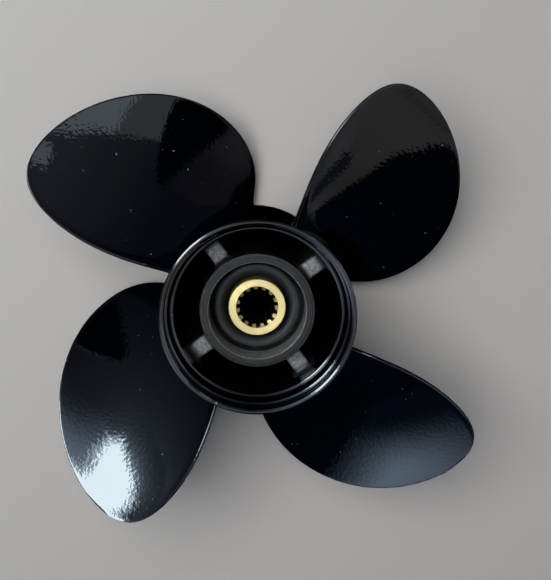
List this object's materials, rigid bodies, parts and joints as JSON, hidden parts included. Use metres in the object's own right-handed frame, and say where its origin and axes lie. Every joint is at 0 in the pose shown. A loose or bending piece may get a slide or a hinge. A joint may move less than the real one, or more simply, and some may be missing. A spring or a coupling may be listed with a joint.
{
  "type": "outboard motor propeller",
  "caption": "Right-hand boat propeller with raked skewed blades on an exhaust barrel, ribbed inner hub, rubber bushing and splined brass sleeve.",
  "frame": {"origin": "on the shaft axis, in the plane of the barrel's flat front ring, which the part rests on", "axes": "+Z along the shaft axis, pointing aft, out of the flared exhaust rim; the ribs lie at 45 degrees between X and Y"},
  "size_m": [0.2966, 0.2966, 0.133],
  "materials": {
    "gloss_black_paint": "gloss black paint on cast aluminium, fine orange peel",
    "painted_casting": "thin satin black paint on rough cast aluminium",
    "black_rubber": "matt moulded rubber",
    "satin_brass": "faced satin brass"
  },
  "bodies": {
    "root": {"barrel": "gloss_black_paint", "inner_hub": "painted_casting", "rib_1": "painted_casting", "rib_2": "painted_casting", "rib_3": "painted_casting", "rib_4": "painted_casting", "blade_1": "gloss_black_paint", "blade_2": "gloss_black_paint", "blade_3": "gloss_black_paint", "blade_4": "gloss_black_paint", "rubber_bushing": "black_rubber", "splined_sleeve": "satin_brass"}
  },
  "joints": []
}
